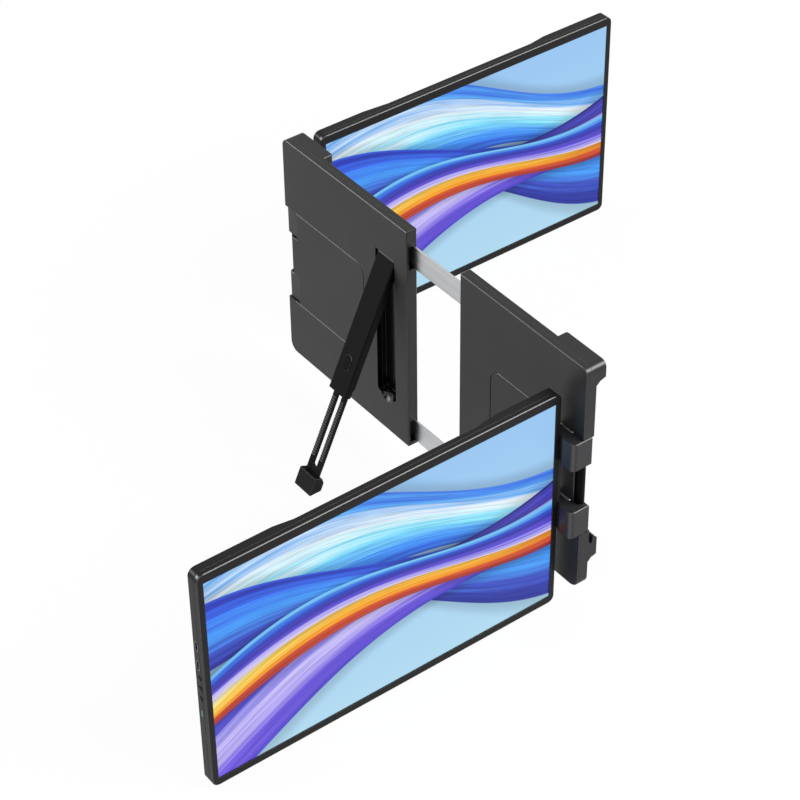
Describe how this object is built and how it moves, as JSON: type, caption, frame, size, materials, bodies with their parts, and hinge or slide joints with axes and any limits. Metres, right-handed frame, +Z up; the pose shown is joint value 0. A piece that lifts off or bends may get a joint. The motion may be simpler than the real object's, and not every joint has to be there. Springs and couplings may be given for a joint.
{
  "type": "laptop screen extender",
  "caption": "Clip-on bracket with a swinging display at each end, sliding metal rails and a telescoping kickstand.",
  "frame": {"origin": "bottom centre of the bounding box at the resting pose, on the surface it stands on", "axes": "+Z up, +X along the bracket from the left half to the right half, +Y from the bracket's back to the laptop side"},
  "size_m": [0.3992, 0.6792, 0.231],
  "materials": {
    "bracket_shell": "fine matt texture",
    "guide_plastic": "smooth black",
    "hinge_metal": "black coated",
    "pin_steel": "ground",
    "soft_rubber": "matt",
    "rail_aluminium": "lengthwise brushed",
    "arm_plastic": "fine matt texture",
    "bezel_plastic": "satin",
    "display_panel": "smooth, lit",
    "backlight_tray": "plain",
    "housing_plastic": "fine matt texture",
    "port_metal": "plain",
    "light_pipe": "clear tinted",
    "stand_plastic": "matt",
    "button_plastic": "smooth"
  },
  "bodies": {
    "left_half": {"left_back_shell": "bracket_shell", "left_front_shell": "bracket_shell", "left_hinge_cover": "bracket_shell", "left_rail_guides": "guide_plastic", "left_hinge_core": "hinge_metal", "left_hinge_pin": "pin_steel", "left_grip_pads": "soft_rubber", "slide_rails": "rail_aluminium", "stand_pin": "pin_steel"},
    "right_half": {"right_back_shell": "bracket_shell", "right_front_shell": "bracket_shell", "right_hinge_cover": "bracket_shell", "right_rail_guides": "guide_plastic", "right_hinge_core": "hinge_metal", "right_hinge_pin": "pin_steel", "right_grip_pads": "soft_rubber"},
    "left_screen": {"left_hinge_arm": "arm_plastic", "left_bezel": "bezel_plastic", "left_display": "display_panel", "left_backlight": "backlight_tray", "left_back_cover": "housing_plastic", "left_ports": "port_metal", "left_status_light": "light_pipe"},
    "right_screen": {"right_hinge_arm": "arm_plastic", "right_bezel": "bezel_plastic", "right_display": "display_panel", "right_backlight": "backlight_tray", "right_back_cover": "housing_plastic", "right_ports": "port_metal", "right_status_light": "light_pipe"},
    "kickstand": {"stand_leg": "stand_plastic"},
    "kickstand_extension": {"stand_fork": "stand_plastic", "stand_foot": "soft_rubber"},
    "kickstand_release": {"stand_release": "button_plastic"},
    "left_button_1": {"left_button_1": "button_plastic"},
    "left_button_2": {"left_button_2": "button_plastic"},
    "left_button_3": {"left_button_3": "button_plastic"},
    "right_button_1": {"right_button_1": "button_plastic"},
    "right_button_2": {"right_button_2": "button_plastic"},
    "right_button_3": {"right_button_3": "button_plastic"}
  },
  "joints": [
    {"name": "bracket_slide", "type": "slide", "parent": "left_half", "child": "right_half", "axis": [1, 0, 0], "range_m": [-0.005, 0.03]},
    {"name": "left_screen_hinge", "type": "hinge", "parent": "left_half", "child": "left_screen", "pos_m": [-0.1663, -0.015, 0.121], "axis": [0, 0, 1], "range_deg": [-90, 180]},
    {"name": "right_screen_hinge", "type": "hinge", "parent": "right_half", "child": "right_screen", "pos_m": [0.1921, -0.015, 0.121], "axis": [0, 0, 1], "range_deg": [0, 270]},
    {"name": "kickstand_hinge", "type": "hinge", "parent": "left_half", "child": "kickstand", "pos_m": [-0.0383, -0.0156, 0.19], "axis": [-1, 0, 0], "range_deg": [-19, 35]},
    {"name": "kickstand_slide", "type": "slide", "parent": "kickstand", "child": "kickstand_extension", "axis": [0, -0.4163, -0.9092], "range_m": [-0.07, 0.008]},
    {"name": "kickstand_release_press", "type": "slide", "parent": "kickstand", "child": "kickstand_release", "axis": [0, 0.9092, -0.4163], "range_m": [0, 0.0012], "stiffness_N_per_m": 900},
    {"name": "left_button_1_press", "type": "slide", "parent": "left_screen", "child": "left_button_1", "axis": [0, -1, 0], "range_m": [0, 0.0006], "stiffness_N_per_m": 1500},
    {"name": "left_button_2_press", "type": "slide", "parent": "left_screen", "child": "left_button_2", "axis": [0, -1, 0], "range_m": [0, 0.0006], "stiffness_N_per_m": 1500},
    {"name": "left_button_3_press", "type": "slide", "parent": "left_screen", "child": "left_button_3", "axis": [0, -1, 0], "range_m": [0, 0.0006], "stiffness_N_per_m": 1500},
    {"name": "right_button_1_press", "type": "slide", "parent": "right_screen", "child": "right_button_1", "axis": [0, 1, 0], "range_m": [0, 0.0006], "stiffness_N_per_m": 1500},
    {"name": "right_button_2_press", "type": "slide", "parent": "right_screen", "child": "right_button_2", "axis": [0, 1, 0], "range_m": [0, 0.0006], "stiffness_N_per_m": 1500},
    {"name": "right_button_3_press", "type": "slide", "parent": "right_screen", "child": "right_button_3", "axis": [0, 1, 0], "range_m": [0, 0.0006], "stiffness_N_per_m": 1500}
  ]
}
